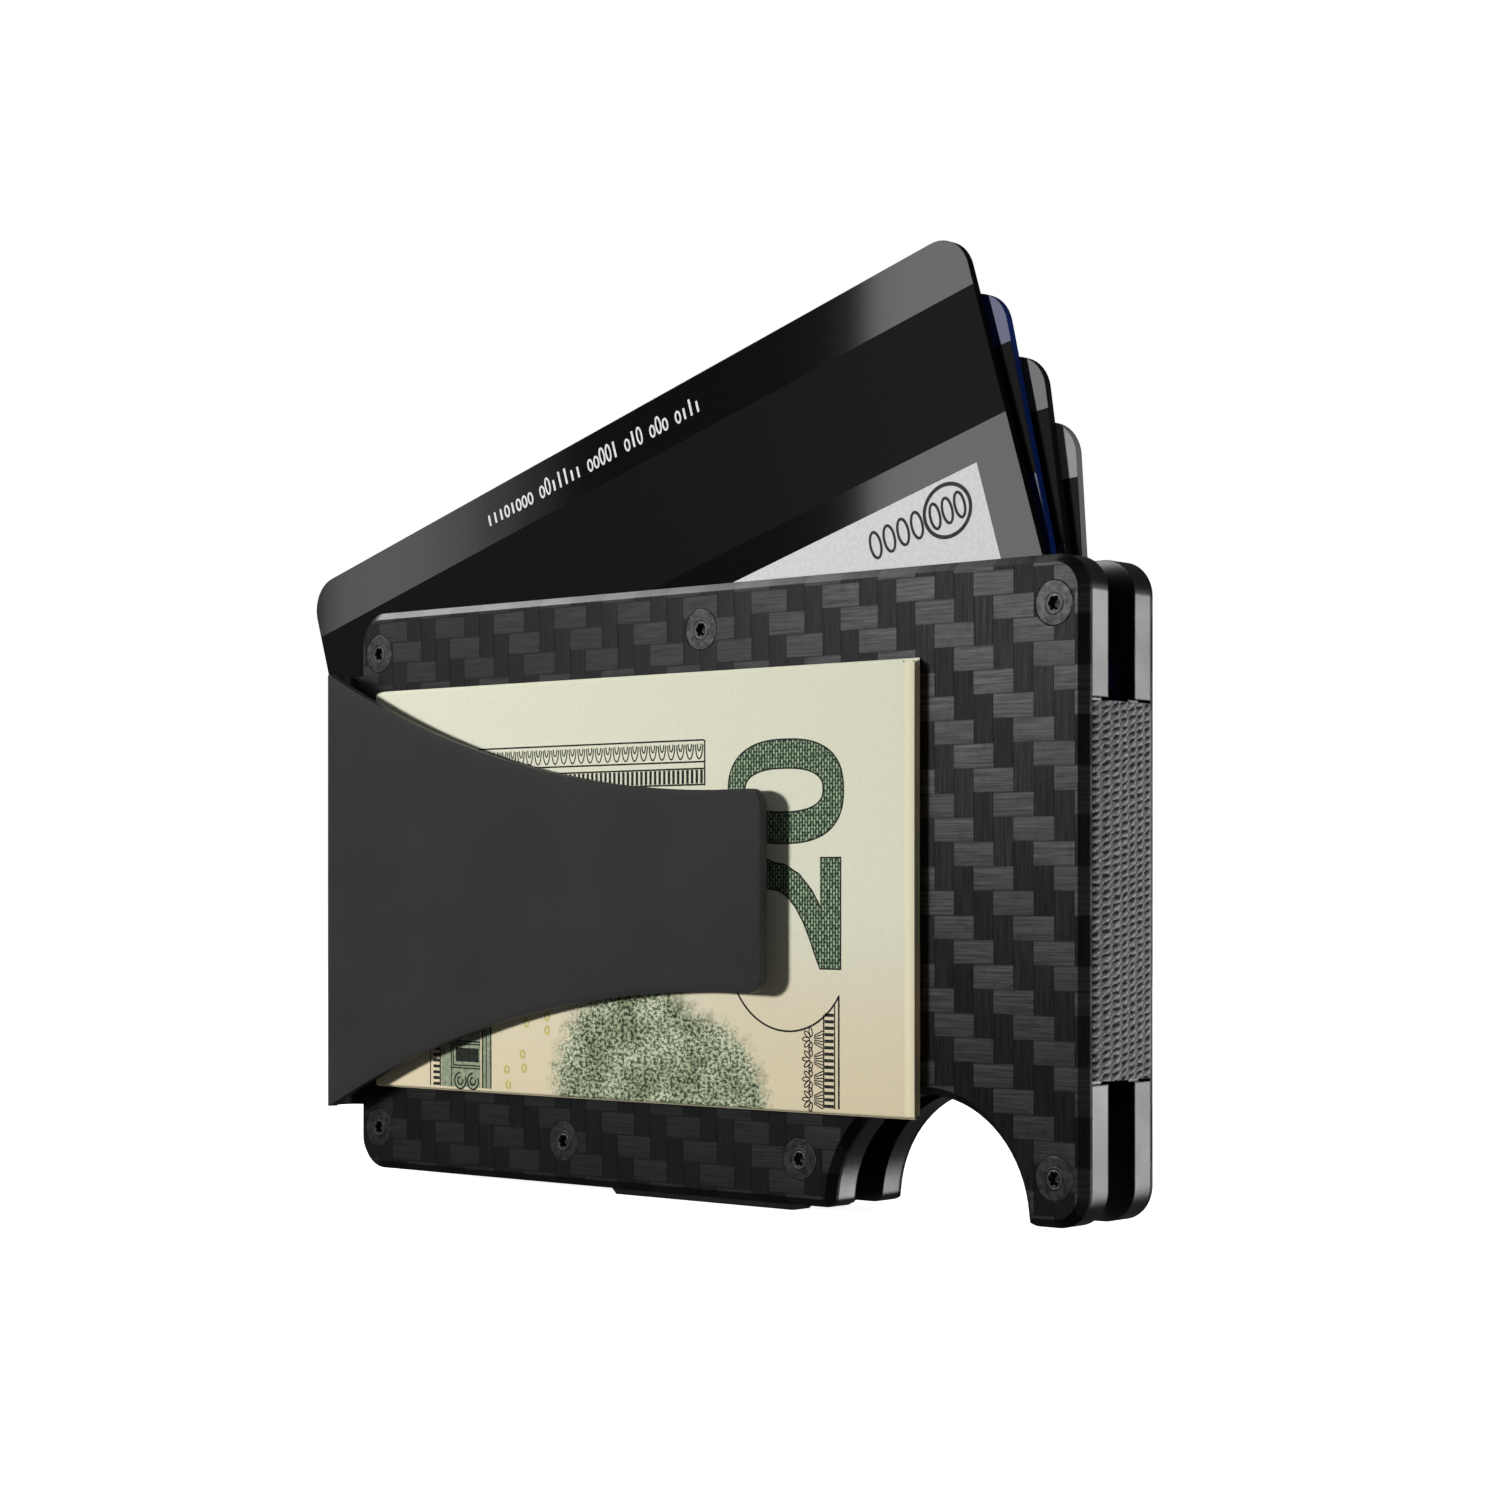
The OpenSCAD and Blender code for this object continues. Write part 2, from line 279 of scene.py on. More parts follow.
def band_material():
    """Knitted elastic: slanting stitches with painted shade in the holes between them, and painted highlights
    on the yarn. UV is in millimetres.
    """
    s = Shader("band", Roughness=0.85, Specular_IOR_Level=0.2, Sheen_Weight=0.1)
    u, v, _ = s.axes("UV")
    loop_u = 1.1
    loop_v = 0.64
    shift = s.noise(s.vector(u, v, 0.0), 1.1, 2.0)
    shift_v = s.noise(s.vector(s.math("ADD", u, 40.0), v, 0.0), 1.1, 2.0)
    columns = s.math("DIVIDE", s.math("MULTIPLY_ADD", shift, 0.7, u), loop_u)
    rows = s.math("DIVIDE", s.math("MULTIPLY_ADD", shift_v, 0.5, v), loop_v)
    rows = s.math("ADD", rows, s.math("MULTIPLY", s.math("FLOOR", columns), 0.3))
    fu = s.math("SUBTRACT", s.math("FRACT", columns), 0.5)
    fv = s.math("SUBTRACT", s.math("FRACT", rows), 0.5)
    slant = s.math("MULTIPLY_ADD", fv, 0.7, fu)
    reach = s.length(s.math("MULTIPLY", slant, 2.0), s.math("MULTIPLY", fv, 2.3))
    twist = s.noise(s.stretched((u, v, 0), (7.0, 4.0, 0)), 1.0, 4.0, 0.75)
    reach = s.math("ADD", reach, s.math("MULTIPLY_ADD", twist, 0.9, -0.45))
    yarn = s.step(reach, 0.25, 0.9)
    strand = s.math("SINE", s.math("MULTIPLY", s.math("ADD", rows, columns), 2 * math.pi))
    # painted highlight: bright glints along the yarn's strands
    glint = s.math("MULTIPLY", s.step(strand, -0.4, 1.0), s.step(twist, 0.35, 0.65))
    thread = s.mix(glint, grey(0.2), grey(0.72))
    # painted shade: the holes between the stitches are painted near black
    s.set("Base Color", s.mix(yarn, grey(0.018), thread))
    s.bump(s.math("ADD", yarn, s.math("MULTIPLY", twist, 0.5)), 0.15 * MM, 0.8)
    return s.material


def clip_material():
    """Fine matt powder coat on spring steel."""
    s = Shader("clip_coat", Roughness=0.48, Specular_IOR_Level=0.2)
    place = s.vector(*s.axes())
    grain = s.noise(place, 9000.0, 2.0, 0.6)
    cloud = s.noise(place, 70.0, 3.0)
    s.set("Base Color", s.mix(s.step(cloud, 0.25, 0.8), grey(0.026), grey(0.033)))
    s.set("Roughness", s.math("MULTIPLY_ADD", cloud, 0.1, 0.43))
    s.bump(grain, 0.006 * MM, 0.5)
    return s.material


# print on a card: the depth below its top edge to which the top band and the stripe reach, and
# the panel's top, bottom, right and left edges, from the card's top and right edges
TOP_BAND_END = 5.05
STRIPE_END = 16.5
PANEL = (19.4, 32.0, 4.0, 66.0)


def card_material(name, number, body, band, stripe, edge, panel):
    """A printed card. Its own axes are centred on it and turned with it: u along, v up."""
    s = Shader(name, Roughness=0.07, Specular_IOR_Level=0.46)
    cx, cz, degrees = CARD_PLACE[number]
    x, _, z = s.axes()
    cosine, sine = math.cos(math.radians(degrees)), math.sin(math.radians(degrees))
    dx = s.math("SUBTRACT", x, cx * MM)
    dz = s.math("SUBTRACT", z, cz * MM)
    u = s.math("ADD", s.math("MULTIPLY", dx, cosine), s.math("MULTIPLY", dz, sine))
    v = s.math("SUBTRACT", s.math("MULTIPLY", dz, cosine), s.math("MULTIPLY", dx, sine))
    below_top = s.math("DIVIDE", s.math("SUBTRACT", CARD_H / 2, v), MM)
    from_right = s.math("DIVIDE", s.math("SUBTRACT", CARD_L / 2, u), MM)

    def between(value, low, high):
        return s.math("MULTIPLY", s.math("GREATER_THAN", value, low), s.math("LESS_THAN", value, high))

    facing_y = s.axes("Normal")[1]
    on_front = s.math("LESS_THAN", facing_y, 0.0)
    stripe_mask = s.math("MULTIPLY", between(below_top, TOP_BAND_END, STRIPE_END), on_front)
    panel_mask = s.math("MULTIPLY", between(below_top, *PANEL[:2]), between(from_right, *PANEL[2:]))
    panel_mask = s.math("MULTIPLY", panel_mask, on_front)
    mottle = s.noise(s.vector(u, 0.0, v), 900.0, 3.0)
    colour = s.mix(s.math("LESS_THAN", below_top, TOP_BAND_END), body, band)
    colour = s.mix(s.math("MULTIPLY", mottle, 0.12), colour, grey(0.0))
    colour = s.mix(stripe_mask, colour, stripe)
    fleck = s.noise(s.vector(u, 0.0, v), 2600.0, 2.0)
    paper = s.mix(s.step(fleck, 0.35, 0.7), [0.9 * c for c in panel[:3]] + [1], panel)
    colour = s.mix(panel_mask, colour, paper)
    is_edge = s.math("LESS_THAN", s.math("ABSOLUTE", facing_y), 0.6)
    s.set("Base Color", s.mix(is_edge, colour, edge))
    rough = s.math("ADD", s.math("MULTIPLY", stripe_mask, 0.25), s.math("MULTIPLY", panel_mask, 0.5))
    rough = s.math("ADD", rough, s.math("MULTIPLY", is_edge, 0.3))
    s.set("Roughness", s.math("ADD", rough, 0.07))
    dull = s.math("MAXIMUM", stripe_mask, is_edge)
    s.set("Specular IOR Level", s.math("MULTIPLY_ADD", dull, -0.4, 0.46))
    s.bump(mottle, 0.002 * MM, 0.3, s.round_edges(0.08 * MM))
    return s.material


def paper_material():
    """Banknote paper, beige towards the fold, with a soft engraved mass above the fold."""
    s = Shader("note_paper", Roughness=0.75, Specular_IOR_Level=0.2)
    x, y, z = s.axes()
    place = s.vector(x, y, z)
    fibres = s.noise(place, 2600.0, 4.0, 0.65)
    cloud = s.noise(place, 60.0, 3.0)
    low = s.step(s.math("ADD", z, s.math("MULTIPLY", cloud, 6 * MM)), 3 * MM, -14 * MM)
    colour = s.mix(low, (0.74, 0.745, 0.60, 1), (0.72, 0.63, 0.44, 1))
    colour = s.mix(s.math("MULTIPLY", s.step(fibres, 0.35, 0.8), 0.25), colour, (0.56, 0.56, 0.44, 1))

    def blob(cx, cz, rx, rz):
        a = s.math("DIVIDE", s.math("SUBTRACT", x, cx * MM), rx * MM)
        b = s.math("DIVIDE", s.math("SUBTRACT", z, cz * MM), rz * MM)
        return s.length(a, b)

    mass = s.math("MINIMUM", blob(-4.5, -18.5, 11.0, 11.6), blob(2.2, -19.5, 9.4, 9.3))
    ragged = s.math("ADD", mass, s.math("MULTIPLY_ADD", s.noise(place, 1100.0, 2.0), 0.3, -0.15))
    inside = s.math("SUBTRACT", 1.0, s.step(ragged, 0.8, 1.05))
    curls = s.noise(s.stretched((x, y, z), (2500.0, 0, 3300.0)), 1.0, 3.0, 0.7)
    stipple = s.step(curls, 0.42, 0.58)
    tone = s.step(s.noise(place, 260.0, 3.0), 0.32, 0.68)
    ink = s.mix(tone, (0.015, 0.025, 0.012, 1), (0.08, 0.12, 0.06, 1))
    ground = s.mix(tone, (0.34, 0.39, 0.24, 1), (0.66, 0.7, 0.52, 1))
    engraved = s.mix(stipple, ink, ground)
    facing_x, facing_y, _ = s.axes("Normal")
    on_front = s.math("MULTIPLY", s.math("LESS_THAN", facing_y, -0.5),
                      s.math("LESS_THAN", y, NOTE_FRONT_Y + 0.32 * MM))
    colour = s.mix(s.math("MULTIPLY", inside, on_front), colour, engraved)
    # painted highlight: a bright cream strip along the front layer's right end, where it rolls back
    painted_edge_highlight = s.math("MULTIPLY", s.step(x, NOTE_RIGHT - 1.0 * MM, NOTE_RIGHT - 0.5 * MM), on_front)
    colour = s.mix(s.math("MULTIPLY", painted_edge_highlight, 0.75), colour, (0.95, 0.88, 0.62, 1))
    # the ends of the layers, in painted light: a painted highlight on the front edge, painted brown and olive
    # shade behind it, and darker painted shade lines between the layers
    end_shade_tint = s.step(s.noise(s.vector(0.0, y, z), 130.0, 2.0), 0.4, 0.62)
    shade = s.mix(end_shade_tint, (0.06, 0.06, 0.02, 1), (0.3, 0.14, 0.06, 1))
    leaf = s.math("SINE", s.math("MULTIPLY", y, 2 * math.pi / LAYER_PITCH))
    shade = s.mix(s.math("MULTIPLY", s.step(leaf, 0.0, 0.8), 0.6), shade, (0.01, 0.01, 0.005, 1))
    end = s.mix(s.step(y, NOTE_FRONT_Y + 0.3 * MM, NOTE_FRONT_Y + 0.34 * MM), (0.9, 0.85, 0.65, 1), shade)
    s.set("Base Color", s.mix(s.math("GREATER_THAN", facing_x, 0.5), colour, end))
    creases = s.noise(s.stretched((x, y, z), (40.0, 0, 160.0)), 1.0, 3.0)
    s.bump(s.math("ADD", creases, s.math("MULTIPLY", fibres, 0.12)), 0.12 * MM, 0.35)
    return s.material


def ink_material(name, light, dark, hatch):
    """Ink. hatch above 0 cuts pale upright strokes into it, that many columns to the metre."""
    s = Shader(name, Roughness=0.7, Specular_IOR_Level=0.2)
    x, y, z = s.axes()
    patches = s.noise(s.vector(x, y, z), 2400.0, 3.0)
    colour = s.mix(s.step(patches, 0.3, 0.7), dark, light)
    if hatch:
        columns = s.math("MULTIPLY", x, hatch)
        stroke = s.math("ABSOLUTE", s.math("SUBTRACT", s.math("FRACT", columns), 0.5))
        odd = s.math("FLOORED_MODULO", s.math("FLOOR", columns), 2.0)
        rows = s.math("MULTIPLY_ADD", odd, 0.5, s.math("MULTIPLY", z, hatch * 0.52))
        dash = s.math("ABSOLUTE", s.math("SUBTRACT", s.math("FRACT", rows), 0.5))
        cut = s.math("MULTIPLY", s.step(stroke, 0.34, 0.2), s.step(dash, 0.44, 0.32))
        cut = s.math("MULTIPLY", cut, s.math("MULTIPLY_ADD", s.step(patches, 0.38, 0.58), 0.65, 0.3))
        colour = s.mix(cut, colour, (0.42, 0.52, 0.35, 1))
    s.set("Base Color", colour)
    return s.material


# ---------------------------------------------------------------- mesh helpers


def make_object(name, vertices, faces, material, smooth_angle=35):
    """A mesh object. Edges sharper than the angle, in degrees, stay sharp."""
    mesh = bpy.data.meshes.new(name)
    mesh.from_pydata([tuple(v) for v in vertices], [], faces)
    mesh.validate()
    mesh.materials.append(material)
    made = bpy.data.objects.new(name, mesh)
    bpy.context.collection.objects.link(made)
    smooth(made, smooth_angle)
    return made


def smooth(piece, angle=35):
    piece.data.shade_smooth()
    piece.data.set_sharp_from_angle(angle=math.radians(angle))


def settle(piece, angle=35):
    """Turns the piece's modifiers into mesh."""
    bpy.context.view_layer.update()
    done = piece.evaluated_get(bpy.context.evaluated_depsgraph_get())
    mesh = bpy.data.meshes.new_from_object(done)
    piece.modifiers.clear()
    piece.data = mesh
    smooth(piece, angle)


def paint(node, material, angle=30):
    """Gives a CAD node its material and its shading."""
    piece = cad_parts[node]
    piece.data.materials.clear()
    piece.data.materials.append(material)
    smooth(piece, angle)


class Print:
    """Flat ink shapes gathered into one mesh, just proud of a face that looks towards -Y."""

    def __init__(self, y, place):
        self.y = y
        self.place = place
        self.vertices = []
        self.faces = []

    def add(self, points, faces):
        start = len(self.vertices)
        for a, b in points:
            x, z = self.place(a, b)
            self.vertices.append((x, self.y, z))
        self.faces += [tuple(start + k for k in face) for face in faces]

    def ribbon(self, points, width, closed=False):
        """A line of even width through the points."""
        p = np.array(points, float)
        count = len(p)
        following = np.roll(p, -1, 0) - p
        before = p - np.roll(p, 1, 0)
        if not closed:
            following[-1] = before[-1]
            before[0] = following[0]
        unit_a = before / np.linalg.norm(before, axis=1)[:, None]
        unit_b = following / np.linalg.norm(following, axis=1)[:, None]
        normal_a = np.stack([-unit_a[:, 1], unit_a[:, 0]], 1)
        normal_b = np.stack([-unit_b[:, 1], unit_b[:, 0]], 1)
        spread = np.maximum(1 + (normal_a * normal_b).sum(1), 0.4)
        offset = (normal_a + normal_b) / spread[:, None] * width / 2
        both = [tuple(q) for q in p + offset] + [tuple(q) for q in p - offset]
        last = count if closed else count - 1
        faces = [(k, (k + 1) % count, count + (k + 1) % count, count + k) for k in range(last)]
        self.add(both, faces)

    def box(self, a0, b0, a1, b1):
        self.add([(a0, b0), (a1, b0), (a1, b1), (a0, b1)], [(0, 1, 2, 3)])

    def build(self, name, material, body):
        made = make_object(name, self.vertices, self.faces, material)
        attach(made, body)
        return made


def arc(ca, cb, ra, rb, start, end, count=24):
    """Points on an ellipse from angle start to end, in degrees."""
    angles = [math.radians(start + (end - start) * k / count) for k in range(count + 1)]
    return [(ca + ra * math.cos(t), cb + rb * math.sin(t)) for t in angles]


def oval(ca, cb, ra, rb, count, power=2.5):
    """Points round a squarish oval; power 2 is an ellipse."""
    def reach(value):
        return math.copysign(abs(value) ** (2 / power), value)

    angles = [2 * math.pi * k / count for k in range(count)]
    return [(ca + ra * reach(math.cos(t)), cb + rb * reach(math.sin(t))) for t in angles]


def stroke_side(points, offset):
    """The points moved sideways from the line they make."""
    p = np.array(points, float)
    along = np.gradient(p, axis=0)
    along /= np.linalg.norm(along, axis=1)[:, None]
    return [tuple(q) for q in p + np.stack([-along[:, 1], along[:, 0]], 1) * offset]


# ---------------------------------------------------------------- elastic band


def band_stations():
    """The loop's centre line seen from above, as X at the top edge, X at the bottom edge, and Y
    from the front face. Each stretch is cut fine and its corners are rounded."""
    end = PLATE_X / MM - 0.3
    near = 1.35
    far = -FRONT_Y / MM - near
    corners = [
        (end, end, near), (-end, -end, near), (-50.65, -44.1, 3.0), (-50.6, -44.2, 4.5),
        (-48.1, -46.0, 7.5), (-end, -end, far), (end - 0.2, end - 0.2, far), (end + 0.35, end + 0.35, far),
        (end + 0.6, end + 0.6, far - 0.6), (end + 0.6, end + 0.6, 5.2), (end + 0.6, end + 0.6, 3.35),
    ]
    points = []
    for a, b in zip(corners, corners[1:] + corners[:1]):
        a, b = np.array(a), np.array(b)
        count = max(3, round(float(np.linalg.norm((b - a)[[0, 2]])) / 0.3))
        points += [a + (b - a) * k / count for k in range(count)]
    points = np.array(points)
    for _ in range(3):
        points = (np.roll(points, 1, 0) + 2 * points + np.roll(points, -1, 0)) / 4
    return points


def elastic_band(material):
    """The knitted loop, as a closed strip with beaded edges, and its UV in millimetres."""
    points = band_stations()
    count = len(points)
    rows = 27
    lines = []
    for column in (0, 1):
        line = points[:, [column, 2]]
        along = np.roll(line, -1, 0) - np.roll(line, 1, 0)
        along /= np.linalg.norm(along, axis=1)[:, None]
        lines.append((line, np.stack([-along[:, 1], along[:, 0]], 1)))
    length = np.linalg.norm(np.roll(points, -1, 0) - points, axis=1)
    travelled = np.concatenate([[0], np.cumsum(length)])
    # the loop round the section: outer face from the top down, then inner face back up
    section = []
    for side in (1, -1):
        for k in range(rows):
            share = k / (rows - 1) if side > 0 else 1 - k / (rows - 1)
            section.append((share, side))
    vertices, faces, uvs = [], [], []
    (line_a, normal_a), (line_b, normal_b) = lines
    for i in range(count):
        for share, side in section:
            centre = line_a[i] * (1 - share) + line_b[i] * share
            normal = normal_a[i] * (1 - share) + normal_b[i] * share
            edge = min(share, 1 - share) * BAND_W / MM
            # half the thickness, with a bead along each edge
            bead = 0.29 + 0.03 * math.exp(-((edge - 0.6) / 0.35) ** 2)
            bead -= 0.12 * math.exp(-((edge / 0.12) ** 2))
            at = centre + normal * side * bead
            z = (0.5 - share) * BAND_W
            vertices.append((at[0] * MM, FRONT_Y + at[1] * MM, z))
    ring = len(section)
    for i in range(count):
        j = (i + 1) % count
        for k in range(ring):
            m = (k + 1) % ring
            faces.append((i * ring + k, j * ring + k, j * ring + m, i * ring + m))
            v0, v1 = (0.5 - section[k][0]) * BAND_W / MM, (0.5 - section[m][0]) * BAND_W / MM
            uvs += [(travelled[i], v0), (travelled[i + 1], v0), (travelled[i + 1], v1), (travelled[i], v1)]
    made = make_object("elastic_band_knit", vertices, faces, material, 60)
    layer = made.data.uv_layers.new(name="UVMap")
    layer.data.foreach_set("uv", np.array(uvs, np.float32).ravel())
    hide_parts("elastic_band")
    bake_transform(made)
    return made


# ---------------------------------------------------------------- money clip

CLIP_T = 0.8 * MM
BEND_X = -42.9
BEND_Y = -0.7
BEND_R = 2.1
CLIP_ROOT = 21.0
CLIP_TIP = 8.75
TIP_X = 12.0
TIP_R = 1.6
WAIST_X = 7.0
WAIST_R = 111.0
TAB_Z = 15.8
TAB_TOP = 24.9
TAB_END_X = -36.2
TAB_Y = 1.4


def clip_half_height(x):
    """Half the clip's height at x, in millimetres, with the round corners of its tongue."""
    if x < WAIST_X:
        return min(CLIP_ROOT, CLIP_TIP + WAIST_R - math.sqrt(WAIST_R ** 2 - (x - WAIST_X) ** 2))
    beyond = x - (TIP_X - TIP_R)
    if beyond <= 0:
        return CLIP_TIP
    return CLIP_TIP - TIP_R + math.sqrt(max(0.0, TIP_R ** 2 - beyond ** 2))


def clip_arm_y(x):
    """The arm's middle line: nearly straight, then flared out towards its tip."""
    straight = -2.8 + 0.95 * (x - BEND_X) / (5 - BEND_X)
    flare = max(0.0, x - 3.6)
    return straight - 0.2085 * flare * flare / (flare + 2.4)


def clip_columns():
    """Places along the sheet from the tabs' ends to the tip: (x, y, whether only the tabs)."""
    columns = [(x, TAB_Y, True) for x in (TAB_END_X, -38.0, -40.2, -42.4)]
    cut = math.asin((0.6 - BEND_Y) / BEND_R)
    for k in range(7):
        t = math.pi / 2 - (math.pi / 2 - cut) * k / 6
        columns.append((BEND_X - BEND_R * math.cos(t), BEND_Y + BEND_R * math.sin(t), k < 6))
    for k in range(1, 19):
        t = cut + (-math.pi / 2 - cut) * k / 18
        columns.append((BEND_X - BEND_R * math.cos(t), BEND_Y + BEND_R * math.sin(t), False))
    xs = [BEND_X + 0.5 + k * 1.2 for k in range(44)]
    xs = [x for x in xs if x < TIP_X - TIP_R - 0.3]
    xs += [TIP_X - TIP_R + TIP_R * math.sin(math.radians(9 * k)) for k in range(11)]
    return columns + [(x, clip_arm_y(x), False) for x in xs]


def money_clip(material):
    """The bent spring: a grid of columns from the tabs' ends to the tip, then thickened."""
    # each column's points, as shares of its half height: the tabs' parts outside the middle one
    tab_shares = [-1.0] + [-(TAB_Z + (CLIP_ROOT - TAB_Z) * k / 3) / CLIP_ROOT for k in (2, 1, 0)]
    middle_shares = [k / 8 * TAB_Z / CLIP_ROOT for k in range(-7, 8)]
    shares = tab_shares + middle_shares + [-v for v in reversed(tab_shares)]
    mesh = bmesh.new()
    previous = None
    for x, y, tabs_only in clip_columns():
        half = CLIP_ROOT if tabs_only or y > BEND_Y else clip_half_height(x)
        heights = [v * half for v in shares]
        # on the plate, the tabs reach on to the screws
        wide = x > BEND_X and y > 1
        if wide:
            heights = [-TAB_TOP] + heights + [TAB_TOP]
        column = [mesh.verts.new((x * MM, FRONT_Y + y * MM, z * MM)) for z in heights]
        row = {round(z / half, 4): v for z, v in zip(heights, column) if abs(z) <= CLIP_ROOT + 1e-6}
        ends = (column[0], column[-1]) if wide else None
        if previous:
            old_row, old_ends, old_tabs = previous
            keys = sorted(set(row) & set(old_row))
            for a, b in zip(keys, keys[1:]):
                between_tabs = abs(a + b) / 2 * CLIP_ROOT < TAB_Z
                if (tabs_only or old_tabs) and between_tabs:
                    continue
                mesh.faces.new((old_row[a], old_row[b], row[b], row[a]))
            if ends and old_ends:
                low, high = min(keys), max(keys)
                mesh.faces.new((old_ends[0], old_row[low], row[low], ends[0]))
                mesh.faces.new((old_row[high], old_ends[1], ends[1], row[high]))
        previous = (row, ends, tabs_only)
    loose = [v for v in mesh.verts if not v.link_faces]
    bmesh.ops.delete(mesh, geom=loose, context="VERTS")
    bmesh.ops.recalc_face_normals(mesh, faces=mesh.faces)
    data = bpy.data.meshes.new("money_clip_sheet")
    mesh.to_mesh(data)
    mesh.free()
    made = bpy.data.objects.new("money_clip_sheet", data)
    bpy.context.collection.objects.link(made)
    data.materials.append(material)
    solid = made.modifiers.new("thickness", "SOLIDIFY")
    solid.thickness = CLIP_T
    solid.offset = 0
    solid.use_even_offset = True
    settle(made)
    round_off = made.modifiers.new("edges", "BEVEL")
    round_off.width = 0.13 * MM
    round_off.segments = 3
    round_off.limit_method = "ANGLE"
    round_off.angle_limit = math.radians(50)
    settle(made)
    # the screw holes in the two tabs
    for side in (-1, 1):
        bpy.ops.mesh.primitive_cylinder_add(
            vertices=32, radius=1.0 * MM, depth=4 * MM, rotation=(math.pi / 2, 0, 0),
            location=(SCREW_X * MM, FRONT_Y + TAB_Y * MM, side * SCREW_Z * MM))
        drill = bpy.context.object
        hole = made.modifiers.new("hole", "BOOLEAN")
        hole.operation = "DIFFERENCE"
        hole.object = drill
        hole.solver = "EXACT"
        settle(made, 32)
        bpy.data.objects.remove(drill)
    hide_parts("clip_base", "clip_arm")
    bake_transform(made)
    return made


# ---------------------------------------------------------------- banknotes

PAPER_T = 0.07 * MM
# how far, and over what width, the front layer's right end rolls back
ROLL_BACK = 0.22 * MM
ROLL_WIDTH = 0.9 * MM


def folded_note(number, material):
    """A note folded in half twice: four layers with a double fold at the bottom and one fold at
    the top, whose right-hand ends don't quite line up."""
    low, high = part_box(f"banknote_{number}")
    low, high = np.array(low), np.array(high)
    depth = high[1] - low[1]
    pitch = (depth - PAPER_T) / 3
    ys = [low[1] + PAPER_T / 2 + pitch * k for k in range(4)]
    bottom, top = low[2] + PAPER_T / 2, high[2] - PAPER_T / 2
    line = []

    def fold(y_a, y_b, z, way):
        """A half turn between two layers, downwards where way is -1."""
        middle, reach = (y_a + y_b) / 2, abs(y_b - y_a) / 2
        for k in range(1, 8):
            t = math.pi * k / 8
            line.append((middle + (y_a - y_b) / 2 * math.cos(t), z + way * reach * math.sin(t)))

    def layer(y, z_from, z_to, steps=22):
        for k in range(steps + 1):
            line.append((y, z_from + (z_to - z_from) * k / steps))

    inner_bottom = bottom + 1.5 * pitch
    layer(ys[0], top - 0.15 * MM, inner_bottom)
    fold(ys[0], ys[3], inner_bottom, -1)
    layer(ys[3], inner_bottom, top - 0.5 * pitch)
    fold(ys[3], ys[2], top - 0.5 * pitch, 1)
    layer(ys[2], top - 0.5 * pitch, inner_bottom)
    fold(ys[2], ys[1], inner_bottom, -1)
    layer(ys[1], inner_bottom, top - 0.35 * MM)
    columns, fine_columns, fine_share = 52, 8, 0.02
    vertices, faces = [], []
    rnd = random.Random(number)
    phase = rnd.uniform(0, 6)
    ends = (0.0, 1.0, 1.2, 0.2) if number == 3 else (0.15, 0.45, 0.1, 0.35)
    for i in range(columns + 1):
        share = i / columns
        if i >= columns - fine_columns:
            share = 1 - fine_share * (columns - i) / fine_columns
        for y, z in line:
            which = min(range(4), key=lambda k: abs(ys[k] - y))
            right = high[0] - ends[which] * MM
            x = low[0] + (right - low[0]) * share
            wave = 0.02 * MM * math.sin(x * 160 + phase) * math.sin(z * 120 + phase)
            if number == 3 and which == 0:
                wave += ROLL_BACK * max(0.0, 1 - (right - x) / ROLL_WIDTH) ** 2
            vertices.append((x, min(max(y + wave, low[1] + PAPER_T / 2), high[1] - PAPER_T / 2), z))
    width = len(line)
    for i in range(columns):
        for k in range(width - 1):
            a = i * width + k
            faces.append((a, a + width, a + width + 1, a + 1))
    made = make_object(f"banknote_{number}_paper", vertices, faces, material, 60)
    solid = made.modifiers.new("thickness", "SOLIDIFY")
    solid.thickness = PAPER_T
    solid.offset = 0
    settle(made, 60)
    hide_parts(f"banknote_{number}")
    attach(made, "notes")
    return made


NUMERAL_BASE = 19.2
PRINT_LIFT = 0.012 * MM
PRINT_STEP = 0.004 * MM
LADDER_PITCH = 0.55
COLUMN_LEFT = -18.5
COLUMN_RIGHT = 8.6


def note_place(a, b):
    """From the print's own axes in millimetres (a across, b up) to X and Z."""
    return (NUMERAL_BASE - b) * MM, a * MM


def print_figures(numerals, outlines):
    """The numeral's two figures, and a thin line round each."""
    # the round figure: a ring between two squarish ovals
    count = 72
    outer = oval(8.5, 6.3, 4.45, 6.45, count)
    inner = oval(8.6, 6.45, 1.88, 4.4, count)
    ring = [(k, (k + 1) % count, count + (k + 1) % count, count + k) for k in range(count)]
    numerals.add(outer + inner, ring)
    outlines.ribbon(outer, 0.14, True)
    outlines.ribbon(inner, 0.14, True)
    # the other figure: a hook, a slanted stroke and a foot that lies a hair in front of them
    stroke = arc(-1.6, 9.0, 3.2, 2.7, 170, -25, 28)
    stroke += [(1.15, 6.7), (0.5, 5.4), (-0.7, 4.2), (-2.1, 3.25), (-3.6, 2.5), (-5.1, 1.85), (-6.15, 1.35)]
    numerals.ribbon(stroke, 2.3)
    outlines.ribbon(stroke_side(stroke, 1.15)[:-3], 0.14)
    outlines.ribbon(stroke_side(stroke, -1.15), 0.14)
    numerals.y -= 0.003 * MM
    numerals.box(-6.6, 0.15, 2.8, 2.4)
    outlines.ribbon([(-6.6, 2.4), (-6.6, 0.15), (2.8, 0.15), (2.8, 2.4)], 0.14)


